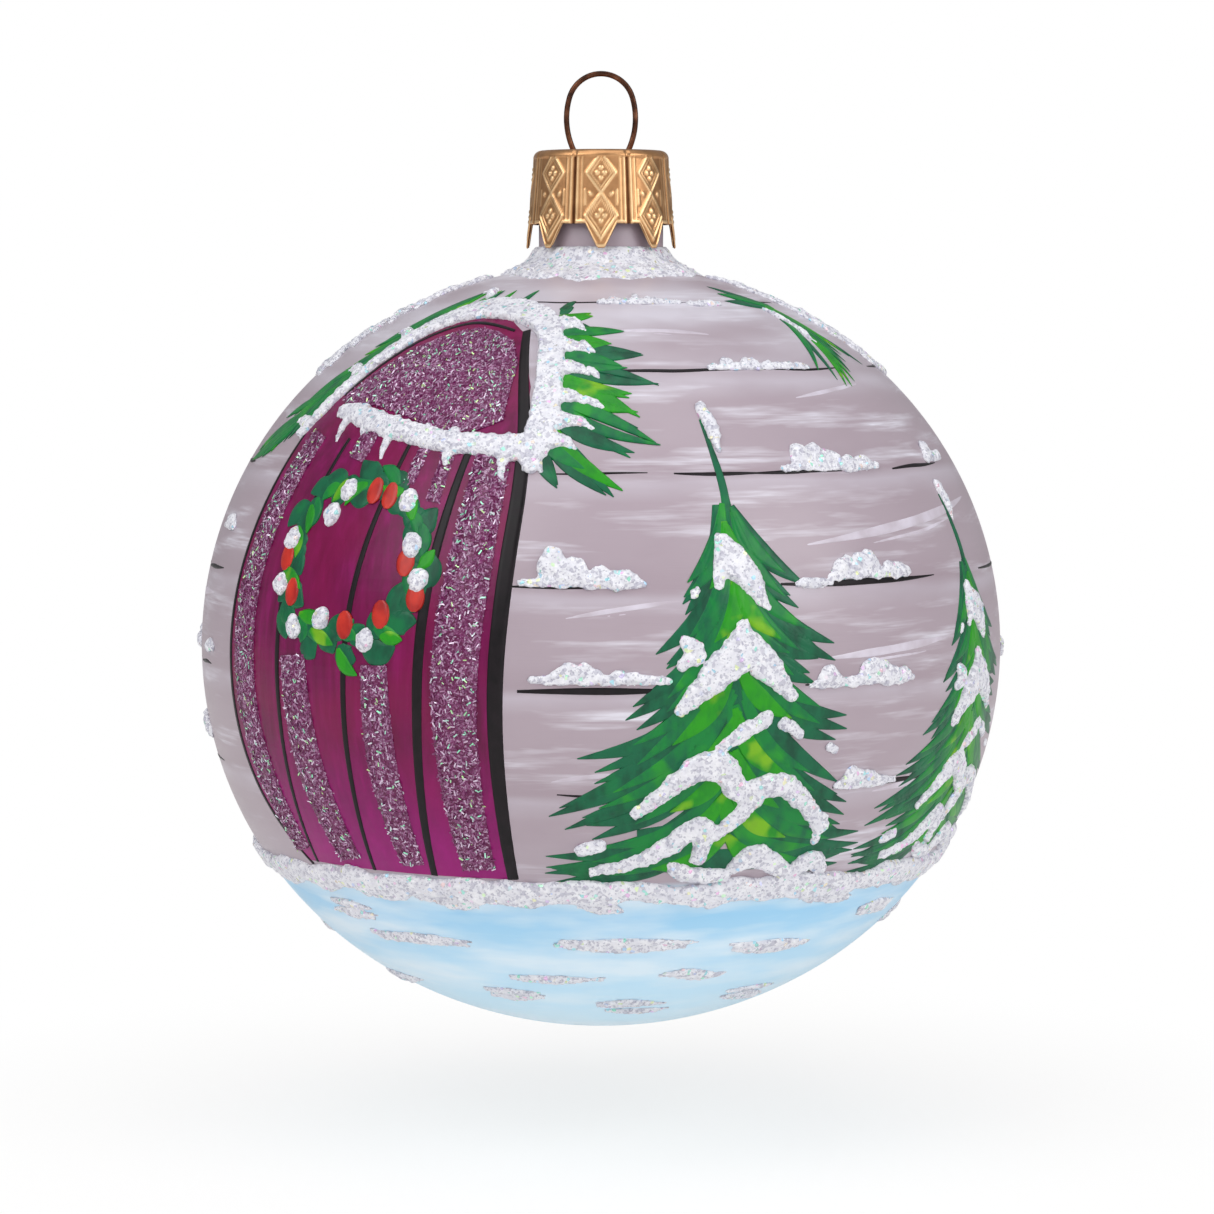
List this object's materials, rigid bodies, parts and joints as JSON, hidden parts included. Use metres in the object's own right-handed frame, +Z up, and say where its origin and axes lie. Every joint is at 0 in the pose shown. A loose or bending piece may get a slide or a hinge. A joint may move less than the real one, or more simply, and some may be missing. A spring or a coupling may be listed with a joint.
{
  "type": "blown glass ball ornament",
  "caption": "Hand-painted hollow glass ball with raised snow paste, a log-house winter scene, a toothed metal cap and a spring-wire hanging loop.",
  "frame": {"origin": "the point inside the top of the wire loop where a hook or a branch bears, on the ball's axis", "axes": "+Z up along the axis of the ball, cap and loop; -Y is the painted front; the loop lies in the XZ plane"},
  "size_m": [0.0814, 0.0814, 0.0954],
  "materials": {
    "copper_wire": "spring wire with a dark copper-brown plating, slightly tarnished",
    "antique_gold_cap": "thin stamped sheet, antique gold lacquer, satin",
    "painted_glass": "blown glass, opaque hand-painted lacquer, semi-matt with soft brushed highlights",
    "snow_paste": "glittering acrylic snow paste, rough",
    "pearl_paste": "raised pearl paste dots, glossy",
    "glitter_gel": "clear gel full of lilac and pink glitter"
  },
  "bodies": {
    "hanger": {"hanger_wire": "copper_wire"},
    "cap": {"cap_crown": "antique_gold_cap"},
    "ball": {"back_left_tree_snow": "snow_paste", "back_right_tree_snow": "snow_paste", "door_arch_snow": "snow_paste", "door_glitter_1": "glitter_gel", "door_glitter_2": "glitter_gel", "door_glitter_3": "glitter_gel", "door_glitter_4": "glitter_gel", "eave_snow_1": "snow_paste", "eave_snow_2": "snow_paste", "eave_snow_3": "snow_paste", "eave_snow_4": "snow_paste", "fifth_log_snow_1": "snow_paste", "fifth_log_snow_2": "snow_paste", "fifth_log_snow_3": "snow_paste", "fifth_log_snow_4": "snow_paste", "fourth_log_snow_1": "snow_paste", "fourth_log_snow_2": "snow_paste", "fourth_log_snow_3": "snow_paste", "fourth_log_snow_4": "snow_paste", "fourth_log_snow_5": "snow_paste", "front_tree_snow": "snow_paste", "glass_ball": "painted_glass", "ground_drifts": "snow_paste", "right_tree_snow": "snow_paste", "second_log_snow_1": "snow_paste", "second_log_snow_2": "snow_paste", "second_log_snow_3": "snow_paste", "second_log_snow_4": "snow_paste", "snow_collar": "snow_paste", "snow_ground_line": "snow_paste", "sprig_snow": "snow_paste", "third_log_snow_1": "snow_paste", "third_log_snow_2": "snow_paste", "third_log_snow_3": "snow_paste", "third_log_snow_4": "snow_paste", "top_log_snow_1": "snow_paste", "top_log_snow_2": "snow_paste", "top_log_snow_3": "snow_paste", "window_snow": "snow_paste", "wreath_pearls": "pearl_paste"}
  },
  "joints": [
    {"name": "loop_slide", "type": "slide", "parent": "hanger", "child": "cap", "axis": [0, 0, 1], "range_m": [-0.003, 0]},
    {"name": "ball_swivel", "type": "hinge", "parent": "cap", "child": "ball", "pos_m": [0, 0, -0.00735], "axis": [0, 0, 1], "continuous": true}
  ]
}
